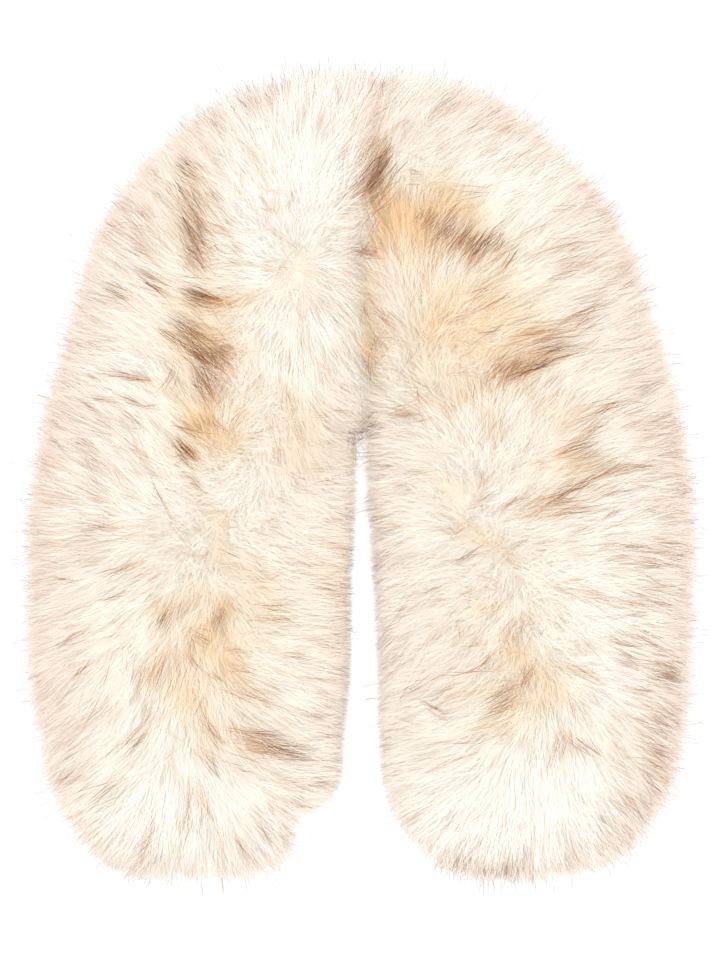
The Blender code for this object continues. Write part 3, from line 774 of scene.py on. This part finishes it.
def coat(side, grid, tufts, each, **how):
    points, across, face, wide, seen, tips, tuft = grow(side, grid, tufts, each, **how)
    m = len(points)
    tone = tone_of(seen, tuft, side)
    seen_at = to_mm(seen[:, 0], seen[:, 1])
    dark = patch(DARK, tips)
    rim = np.clip(1 + past(points[:, -1, :2], side) / 11, 0, 1)
    outer = np.clip(1 + past(seen_at, side) / 62, 0, 1)
    outer *= 1 - 0.8 * np.clip(patch(WHITE, seen), 0, 1)
    inner = (np.abs(seen_at[:, 0]) < 70) & (seen_at[:, 1] < 40)
    crease = (np.abs(seen_at[:, 0]) < 60) & (seen_at[:, 1] >= 40) & (seen_at[:, 1] < 215)
    outer *= np.where(inner, 0.35, np.where(crease, 0.1, 1.0))
    tone += 0.24 * np.clip(patch(DARK, seen), 0, 1)
    # pinkish-beige hair over the outer flanks: partly their own colour, partly painted shade where the
    # flanks slope away from the light; less of it on the white patches, by the gap and at the crease
    outer_pink_shade = RNG.random(m) < 0.85 * outer
    tone = np.where(outer_pink_shade & (tone < 0.34), RNG.uniform(0.65, 0.71, m), tone)
    is_dark = RNG.random(m) < 0.15 * np.clip((dark - 0.2) / 0.7, 0, 1) + 0.05 * rim
    tone = np.where(is_dark, 0.80 + 0.12 * np.clip(dark + RNG.normal(0, 0.2, m), 0, 1), tone)
    return points, across, face, wide, tone


def heights(side):
    """Looks up how high the fur's surface is, and its normal, over the ground."""
    grid = skin({-1: LEFT, 1: RIGHT}[side], side, 3.0, 0.0, 150, 72)
    over = grid[:, 8:-8]
    du, dv = np.gradient(over, axis=0), np.gradient(over, axis=1)
    normal = unit(np.cross(dv, du))
    normal *= np.sign(normal[..., 2:3].mean())
    flat, normal = over.reshape(-1, 3), normal.reshape(-1, 3)
    tree = KDTree(len(flat))
    for n, p in enumerate(flat):
        tree.insert((p[0], p[1], 0), n)
    tree.balance()

    def find(at):
        best = np.array([tree.find((x, y, 0))[1] for x, y in at])
        return flat[best, 2], normal[best]

    return find


def laid(find, middle, way, dark, deep=5.0, out=5.5):
    """Guard hairs laid along the surface, their dark outer part `dark` mm long
    about `middle`; `way` in radians. Their roots are under the surface."""
    m = len(middle)
    long = dark / 0.58
    bend = RNG.normal(0, 0.10, m)
    points = []
    for t in GUARD[0]:
        s = (t - 0.71) * long
        a = way + bend * (t - 0.7) * 2
        at = middle + np.stack([np.cos(a), np.sin(a)], -1) * s[:, None]
        z, normal = find(at)
        lift = np.interp(t, [0, 0.38, 0.72, 1.0], [-deep, 0.4 * out, 0.85 * out, out])
        points.append(np.column_stack([at, z + lift + RNG.normal(0, 0.3, m)]))
    points = sheltered(np.stack(points, 1))
    _, normal = find(middle)
    across, face = blade(unit(points[:, 3] - points[:, 0]), normal)
    return points, across, face


def sheaves(side, find, table):
    """The sheaves that stand out, and many faint ones between them."""
    rows = np.array(table, float)
    count = rows[:, 4] * np.where(rows[:, 4] >= 16, 1.38, 1.1)
    k = np.repeat(np.arange(len(rows)), count.round().astype(int))
    row = rows[k]
    m = len(k)
    way = np.radians(row[:, 2]) + RNG.normal(0, np.radians(8), m)
    dark = row[:, 3] * MM_PER_PX * RNG.uniform(0.7, 1.4, m)
    gone = RNG.normal(0, 0.95, m) * row[:, 5]
    slip = RNG.normal(0, 0.26, m) * row[:, 3]
    c, s = np.cos(np.radians(row[:, 2])), np.sin(np.radians(row[:, 2]))
    px = np.stack([row[:, 0] + c * slip + s * gone, row[:, 1] - s * slip + c * gone], -1)
    middle = to_mm(px[:, 0], px[:, 1])
    points, across, face = laid(find, middle, way, dark, out=9.5)
    much = row[:, 6] - np.where(row[:, 4] >= 16, 0.0, 0.10)
    tone = 0.80 + 0.20 * np.clip(much + RNG.normal(0, 0.18, m), 0, 1)
    return points, across, face, RNG.uniform(0.22, 0.38, m), tone


def wisps(side, find, groups):
    """Faint groups of a few dark-tipped hairs all over."""
    ring = RING[side]
    low, high = ring.min(0), ring.max(0)
    at = low + (high - low) * RNG.random((groups * 3, 2))
    at = at[past(at, side) < -3][:groups]
    inner = np.clip(-past(at, side) / 70, 0, 1)
    px = in_picture(np.column_stack([at, at[:, 0] * 0]))
    keep = RNG.random(len(at)) < (1.0 - 0.8 * patch(WHITE, px)) * (1.0 - 0.6 * inner)
    at, px = at[keep], px[keep]
    way, flat = lay(px, side)
    each = RNG.integers(1, 6, len(at))
    k = np.repeat(np.arange(len(at)), each)
    m = len(k)
    turn = np.arctan2(way[:, 1], way[:, 0]) + RNG.normal(0, 0.2, len(at)) + (
        RNG.normal(0, 1.2, len(at)) * (1 - flat)
    )
    turn = turn[k] + RNG.normal(0, 0.12, m)
    middle = at[k] + RNG.normal(0, 1.6, (m, 2))
    dark = RNG.uniform(7, 16, m)
    points, across, face = laid(find, middle, turn, dark, deep=5.0, out=8.5)
    tone = 0.80 + 0.12 * RNG.random(len(at))[k]
    return points, across, face, RNG.uniform(0.17, 0.28, m), tone


def fringe(side, find, count):
    """Fine hair that passes the outline all round, darker in some stretches."""
    ring = RING[side]
    nxt = np.roll(ring, -1, axis=0)
    long = np.linalg.norm(nxt - ring, axis=1)
    long = long * (0.75 + 0.9 * patch(FRINGE, in_picture(np.column_stack([ring, ring[:, 0] * 0]))))
    odds = np.cumsum(long)
    pick = np.searchsorted(odds, RNG.random(count) * odds[-1])
    at = ring[pick] + (nxt - ring)[pick] * RNG.random(count)[:, None]
    normal = np.stack([(nxt - ring)[:, 1], -(nxt - ring)[:, 0]], -1)[pick]
    normal = unit(normal)
    normal = np.where(past(at + normal * 3, side)[:, None] > 0, normal, -normal)
    crease = (np.abs(at[:, 0]) < 26) & (at[:, 1] > 40) & (at[:, 1] < 236)
    if side > 0:
        at, normal = at[~crease], normal[~crease]
    m = len(at)
    px = in_picture(np.column_stack([at, at[:, 0] * 0]))
    way, _ = lay(px, side)
    way = unit(way * 0.6 + normal * 0.7)
    turn = np.arctan2(way[:, 1], way[:, 0]) + RNG.normal(0, 0.26, m)
    much = patch(FRINGE, px)
    dark = RNG.uniform(4, 10, m)
    tip = RNG.exponential(2.8, m) - RNG.uniform(0, 8.0, m)
    top = (np.abs(at[:, 0]) < 120) & (at[:, 1] > 190)
    tip += np.where(top, RNG.exponential(2.5, m), 0)
    gap = (np.abs(at[:, 0]) < 40) & (at[:, 1] < 30)
    tip = np.where(gap, np.minimum(tip, 1.5), tip)
    go = np.stack([np.cos(turn), np.sin(turn)], -1)
    middle = at + go * (tip - dark * 0.5)[:, None]
    points, across, face = laid(find, middle, turn, dark, deep=3.0, out=0.0)
    low = RNG.uniform(-16, 3, m)[:, None]
    points[..., 2] = np.maximum(points[..., 2] + low, 1.0 + RNG.random(m)[:, None])
    shade = 0.77 + 0.06 * RNG.random(m) + 0.10 * much * RNG.random(m)
    pale = RNG.random(m) > 0.16 + 0.7 * much
    tone = np.where(pale, RNG.uniform(0.65, 0.77, m), shade)
    return points, across, face, RNG.uniform(0.14, 0.26, m), tone


def sole(table, side):
    """The flat ground that the collar rests on, as a grid like a skin's."""
    grid = skin(table, side, 17.0, 21.0, 150, 72, base=3.0)
    share = np.linspace(0.0, 1.0, 20)[None, :, None]
    ends = grid[:, :1], grid[:, -1:]
    flat = ends[0] + (ends[1] - ends[0]) * share
    flat[..., 2] = 2.4
    return flat[:, ::-1]


def ribbons(name, material, shape, points, sides, faces, widths, tones):
    """One mesh of narrow tapering ribbons. On its map a ribbon lies by its
    length and its tone, so that equal hair shares a place."""
    taus, taper = shape
    m, n = len(points), len(taus)
    half = sides[:, None] * (widths[:, None] * taper[None, :-1])[..., None] / 2
    each = 2 * (n - 1) + 1
    verts = np.empty((m, each, 3))
    verts[:, 0:-1:2] = points[:, :-1] - half
    verts[:, 1:-1:2] = points[:, :-1] + half
    verts[:, -1] = points[:, -1]
    corner = []
    for j in range(n - 2):
        corner += [2 * j, 2 * j + 1, 2 * j + 3, 2 * j + 2]
    corner += [2 * n - 4, 2 * n - 3, 2 * n - 2]
    corner = np.array(corner)
    # wound so that each ribbon's front is the side that its normal is on
    turned = (
        np.cross(verts[:, 1] - verts[:, 0], verts[:, 3] - verts[:, 1]) * faces
    ).sum(-1) < 0
    back = []
    for j in range(n - 2):
        back += [2 * j, 2 * j + 2, 2 * j + 3, 2 * j + 1]
    back += [2 * n - 4, 2 * n - 2, 2 * n - 3]
    corners = np.where(turned[:, None], np.array(back), corner)
    loops = (np.arange(m)[:, None] * each + corners).ravel()
    per = len(corner)
    starts = (np.arange(m)[:, None] * per + 4 * np.arange(n - 1)).ravel()
    totals = np.tile([4] * (n - 2) + [3], m)
    mesh = bpy.data.meshes.new(name)
    mesh.vertices.add(m * each)
    mesh.vertices.foreach_set("co", (verts * 0.001).astype(np.float32).ravel())
    mesh.loops.add(m * per)
    mesh.loops.foreach_set("vertex_index", loops.astype(np.int32))
    mesh.polygons.add(m * (n - 1))
    mesh.polygons.foreach_set("loop_start", starts.astype(np.int32))
    mesh.polygons.foreach_set("loop_total", totals.astype(np.int32))
    mesh.update()
    at = np.append(np.repeat(taus[:-1], 2), 1.0)[corners]
    off = np.append(np.tile([-1, 1], n - 1), 0)[corners] * 0.004
    uv = np.empty((m, per, 2))
    uv[..., 0] = 0.01 + 0.98 * at
    uv[..., 1] = np.clip(tones, 0.0, 1.0)[:, None] * 0.97 + 0.015 + off
    layer = mesh.uv_layers.new(name="OFBake", do_init=False)
    layer.uv.foreach_set("vector", uv.astype(np.float32).ravel())
    mesh.shade_smooth()
    mesh.normals_split_custom_set_from_vertices(
        np.repeat(faces, each, axis=0).astype(np.float32)
    )
    mesh.materials.append(material)
    obj = bpy.data.objects.new(name, mesh)
    bpy.context.scene.collection.objects.link(obj)
    return obj


# ---- materials --------------------------------------------------------------
def linear(*rgb):
    return tuple(
        c / 12.92 if c <= 0.04045 else ((c + 0.055) / 1.055) ** 2.4 for c in rgb
    ) + (1.0,)


def new_material(name):
    material = bpy.data.materials.new(name)
    material.use_nodes = True
    return material, material.node_tree, material.node_tree.nodes["Principled BSDF"]


# Kinds of hair, by tone: the colours at the root, the middle and the tip
KINDS = [
    (0.00, [(0.0, (0.98, 0.96, 0.92)), (0.45, (0.98, 0.965, 0.94)), (1.0, (0.985, 0.975, 0.955))]),
    (0.20, [(0.0, (0.97, 0.93, 0.865)), (0.45, (0.97, 0.94, 0.895)), (1.0, (0.975, 0.95, 0.915))]),
    (0.40, [(0.0, (0.965, 0.87, 0.74)), (0.45, (0.96, 0.90, 0.81)), (1.0, (0.965, 0.92, 0.85))]),
    (0.60, [(0.0, (0.93, 0.74, 0.49)), (0.45, (0.94, 0.80, 0.60)), (1.0, (0.95, 0.85, 0.70))]),
    # pinkish beige of the outer flanks and of pale fringe hair; on the flanks it is partly painted shade
    (0.65, [(0.0, (0.95, 0.91, 0.86)), (0.45, (0.935, 0.89, 0.845)), (1.0, (0.92, 0.865, 0.82))]),
    (
        0.80,
        [
            (0.0, (0.96, 0.89, 0.81)),
            (0.4, (0.93, 0.83, 0.73)),
            (0.65, (0.84, 0.68, 0.54)),
            (1.0, (0.73, 0.55, 0.41)),
        ],
    ),
    (
        1.00,
        [
            (0.0, (0.93, 0.80, 0.65)),
            (0.34, (0.76, 0.54, 0.35)),
            (0.55, (0.52, 0.32, 0.175)),
            (1.0, (0.33, 0.185, 0.09)),
        ],
    ),
]


def hair_material(name):
    material, tree, shader = new_material(name)
    nodes, links = tree.nodes, tree.links
    uv = nodes.new("ShaderNodeUVMap")
    uv.uv_map = "OFBake"
    split = nodes.new("ShaderNodeSeparateXYZ")
    links.new(uv.outputs["UV"], split.inputs[0])
    before = None
    for n, (tone, stops) in enumerate(KINDS):
        ramp = nodes.new("ShaderNodeValToRGB")
        ramp.color_ramp.elements[0].position = stops[0][0]
        ramp.color_ramp.elements[0].color = linear(*stops[0][1])
        ramp.color_ramp.elements[1].position = stops[-1][0]
        ramp.color_ramp.elements[1].color = linear(*stops[-1][1])
        for where, colour in stops[1:-1]:
            ramp.color_ramp.elements.new(where).color = linear(*colour)
        links.new(split.outputs["X"], ramp.inputs["Fac"])
        if before is not None:
            share = nodes.new("ShaderNodeMapRange")
            share.clamp = True
            share.inputs["From Min"].default_value = KINDS[n - 1][0] * 0.97 + 0.015
            share.inputs["From Max"].default_value = tone * 0.97 + 0.015
            links.new(split.outputs["Y"], share.inputs["Value"])
            mix = nodes.new("ShaderNodeMix")
            mix.data_type = "RGBA"
            links.new(share.outputs["Result"], mix.inputs["Factor"])
            links.new(before, mix.inputs[6])
            links.new(ramp.outputs["Color"], mix.inputs[7])
            before = mix.outputs[2]
        else:
            before = ramp.outputs["Color"]
    links.new(before, shader.inputs["Base Color"])
    shader.inputs["Roughness"].default_value = 0.6
    shader.inputs["Specular IOR Level"].default_value = 0.05
    return material


def undercoat_material():
    material, tree, shader = new_material("undercoat")
    nodes, links = tree.nodes, tree.links
    tone = nodes.new("ShaderNodeAttribute")
    tone.attribute_name = "tone"
    place = nodes.new("ShaderNodeTexCoord")
    noise = nodes.new("ShaderNodeTexNoise")
    noise.inputs["Scale"].default_value = 260
    noise.inputs["Detail"].default_value = 4
    links.new(place.outputs["Object"], noise.inputs["Vector"])
    add = nodes.new("ShaderNodeMath")
    add.operation = "MULTIPLY_ADD"
    add.inputs[1].default_value = 0.2
    links.new(noise.outputs["Fac"], add.inputs[0])
    links.new(tone.outputs["Fac"], add.inputs[2])
    ramp = nodes.new("ShaderNodeValToRGB")
    ramp.color_ramp.elements[0].position = 0.1
    ramp.color_ramp.elements[0].color = linear(0.975, 0.94, 0.885)
    ramp.color_ramp.elements[1].position = 1.0
    ramp.color_ramp.elements[1].color = linear(0.85, 0.65, 0.43)
    ramp.color_ramp.elements.new(0.5).color = linear(0.95, 0.865, 0.74)
    links.new(add.outputs[0], ramp.inputs["Fac"])
    links.new(ramp.outputs["Color"], shader.inputs["Base Color"])
    bump = nodes.new("ShaderNodeBump")
    bump.inputs["Strength"].default_value = 0.6
    bump.inputs["Distance"].default_value = 0.002
    links.new(noise.outputs["Fac"], bump.inputs["Height"])
    links.new(bump.outputs["Normal"], shader.inputs["Normal"])
    shader.inputs["Roughness"].default_value = 0.95
    shader.inputs["Specular IOR Level"].default_value = 0.1
    return material


def cloth_material():
    """Knitted ground cloth: fine ribs one way and loops the other."""
    material, tree, shader = new_material("ground_cloth")
    nodes, links = tree.nodes, tree.links
    place = nodes.new("ShaderNodeTexCoord")
    ribs = nodes.new("ShaderNodeTexWave")
    ribs.inputs["Scale"].default_value = 220
    ribs.inputs["Distortion"].default_value = 1.2
    links.new(place.outputs["Object"], ribs.inputs["Vector"])
    loops = nodes.new("ShaderNodeTexWave")
    loops.bands_direction = "Y"
    loops.inputs["Scale"].default_value = 300
    loops.inputs["Distortion"].default_value = 0.8
    links.new(place.outputs["Object"], loops.inputs["Vector"])
    both = nodes.new("ShaderNodeMath")
    both.operation = "MULTIPLY"
    links.new(ribs.outputs["Fac"], both.inputs[0])
    links.new(loops.outputs["Fac"], both.inputs[1])
    ramp = nodes.new("ShaderNodeValToRGB")
    ramp.color_ramp.elements[0].color = linear(0.70, 0.56, 0.40)
    ramp.color_ramp.elements[1].color = linear(0.88, 0.77, 0.61)
    links.new(both.outputs[0], ramp.inputs["Fac"])
    links.new(ramp.outputs["Color"], shader.inputs["Base Color"])
    bump = nodes.new("ShaderNodeBump")
    bump.inputs["Strength"].default_value = 0.5
    bump.inputs["Distance"].default_value = 0.0008
    links.new(both.outputs[0], bump.inputs["Height"])
    links.new(bump.outputs["Normal"], shader.inputs["Normal"])
    shader.inputs["Roughness"].default_value = 0.9
    return material


# ---- pieces -----------------------------------------------------------------
def shell(name, grid, material):
    """A skin closed underneath, with its tone painted by the patches."""
    count, across = grid.shape[:2]
    verts = grid.reshape(-1, 3)
    faces = []
    for i in range(count - 1):
        for j in range(across):
            k = (j + 1) % across
            faces.append((i * across + j, i * across + k, (i + 1) * across + k, (i + 1) * across + j))
    faces.append(tuple(range(across))[::-1])
    faces.append(tuple((count - 1) * across + j for j in range(across)))
    mesh = bpy.data.meshes.new(name)
    mesh.from_pydata([tuple(v) for v in verts * 0.001], [], faces)
    px = in_picture(verts)
    tone = 0.10 + 0.55 * patch(TAN, px) + 0.4 * patch(SPOTS, px) + 0.2 * patch(DARK, px)
    mesh.attributes.new("tone", "FLOAT", "POINT").data.foreach_set(
        "value", np.clip(tone, 0, 1).astype(np.float32)
    )
    mesh.update()
    mesh.shade_smooth()
    mesh.set_sharp_from_angle(angle=math.radians(60))
    if sum(p.area * p.normal.z for p in mesh.polygons if p.center.z > 0.03) < 0:
        mesh.flip_normals()
    mesh.materials.append(material)
    obj = bpy.data.objects.new(name, mesh)
    bpy.context.scene.collection.objects.link(obj)
    return obj


SHARE = 1.0
UNDERCOAT = undercoat_material()
HAIR = hair_material("hair")


def piece(name, shape, slot, *found):
    made = ribbons(name, HAIR, shape, *found)
    # light passes through fine pale fibres, so they throw no hard shade
    made.visible_shadow = False
    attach(made, "root")


def together(*found):
    return [np.concatenate(x) for x in zip(*found)]


for side, word, table, marks in (
    (-1, "left", LEFT, SHEAVES_LEFT),
    (1, "right", RIGHT, SHEAVES_RIGHT),
):
    grid = skin(table, side, 14.0, 14.5, 150, 72, base=3.0)
    base = shell(f"undercoat_{word}", grid, UNDERCOAT)
    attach(base, "root")
    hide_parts(f"pile_{word}", f"pile_under_{word}")
    base.visible_shadow = False
    # the pile, in a piece for the neck and one for the leg
    found = coat(side, grid, int(6400 * SHARE), 16)
    high = found[0][:, 0, 1] > np.median(found[0][:, 0, 1])
    for part, here in (("neck", high), ("leg", ~high)):
        piece(f"fur_{part}_{word}", BODY, "pile", *(x[here] for x in found))
    find = heights(side)
    found = together(
        sheaves(side, find, marks),
        wisps(side, find, int(900 * SHARE)),
        fringe(side, find, int(10500 * SHARE)),
    )
    piece(f"guard_hair_{word}", GUARD, "pile", *found)
    # the pressed pile underneath
    points, across, face, wide, seen, _, tuft = grow(
        side, sole(table, side), int(700 * SHARE), 12, width=0.45, pressed=True
    )
    piece(f"fur_under_{word}", BODY, "pile_under", points, across, face, wide, tone_of(seen, tuft, side))

cloth = cloth_material()
for name in ("front_panel", "back_panel"):
    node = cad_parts[name]
    node = bpy.data.objects[node] if isinstance(node, str) else node
    node.data.materials.clear()
    node.data.materials.append(cloth)

# ---- stage, light and camera ------------------------------------------------
def stage():
    mesh = bpy.data.meshes.new("floor")
    r = 6.0
    mesh.from_pydata([(-r, -r, 0), (r, -r, 0), (r, r, 0), (-r, r, 0)], [], [(0, 1, 2, 3)])
    material, tree, shader = new_material("floor")
    shader.inputs["Base Color"].default_value = linear(0.2, 0.2, 0.2)
    shader.inputs["Emission Color"].default_value = (1, 1, 1, 1)
    shader.inputs["Emission Strength"].default_value = 1.02
    shader.inputs["Roughness"].default_value = 0.9
    shader.inputs["Specular IOR Level"].default_value = 0.1
    mesh.materials.append(material)
    floor = bpy.data.objects.new("floor", mesh)
    floor.location.z = -0.0006
    bpy.context.scene.collection.objects.link(floor)


def area_light(name, at, size, power, aim=(0, 0, 0)):
    data = bpy.data.lights.new(name, "AREA")
    data.shape, data.size, data.energy = "DISK", size, power
    lamp = bpy.data.objects.new(name, data)
    lamp.location = at
    lamp.rotation_euler = (Vector(aim) - Vector(at)).to_track_quat("-Z", "Y").to_euler()
    bpy.context.scene.collection.objects.link(lamp)


def studio():
    world = bpy.data.worlds.new("studio")
    bpy.context.scene.world = world
    world.use_nodes = True
    # a soft dome, brightest overhead
    tree = world.node_tree
    back = tree.nodes["Background"]
    back.inputs["Color"].default_value = (1, 1, 1, 1)
    place = tree.nodes.new("ShaderNodeTexCoord")
    split = tree.nodes.new("ShaderNodeSeparateXYZ")
    tree.links.new(place.outputs["Generated"], split.inputs[0])
    high = tree.nodes.new("ShaderNodeMapRange")
    high.clamp = True
    high.inputs["From Min"].default_value = 0.0
    high.inputs["From Max"].default_value = 1.0
    high.inputs["To Min"].default_value = 0.54
    high.inputs["To Max"].default_value = 1.90
    tree.links.new(split.outputs["Z"], high.inputs["Value"])
    tree.links.new(high.outputs["Result"], back.inputs["Strength"])
    area_light("key", (-0.9, 1.3, 2.2), 2.0, 10)
    area_light("fill", (1.5, -0.8, 1.8), 2.0, 6)
    bpy.context.scene.cycles.diffuse_bounces = 2
    view = bpy.context.scene.view_settings
    view.view_transform = "Standard"
    view.look = "None"
    view.exposure = 0.0
    view.gamma = 1.0


def camera():
    data = bpy.data.cameras.new("camera")
    data.sensor_fit = "VERTICAL"
    data.sensor_height = 24.0
    high = 3.2
    view_high = 0.960 * MM_PER_PX
    data.lens = data.sensor_height * (high - 0.03) / view_high
    data.clip_end = 50
    cam = bpy.data.objects.new("camera", data)
    middle = to_mm(360, 480) * 0.001
    cam.location = (middle[0], middle[1], high)
    bpy.context.scene.collection.objects.link(cam)
    bpy.context.scene.camera = cam


stage()
studio()
camera()
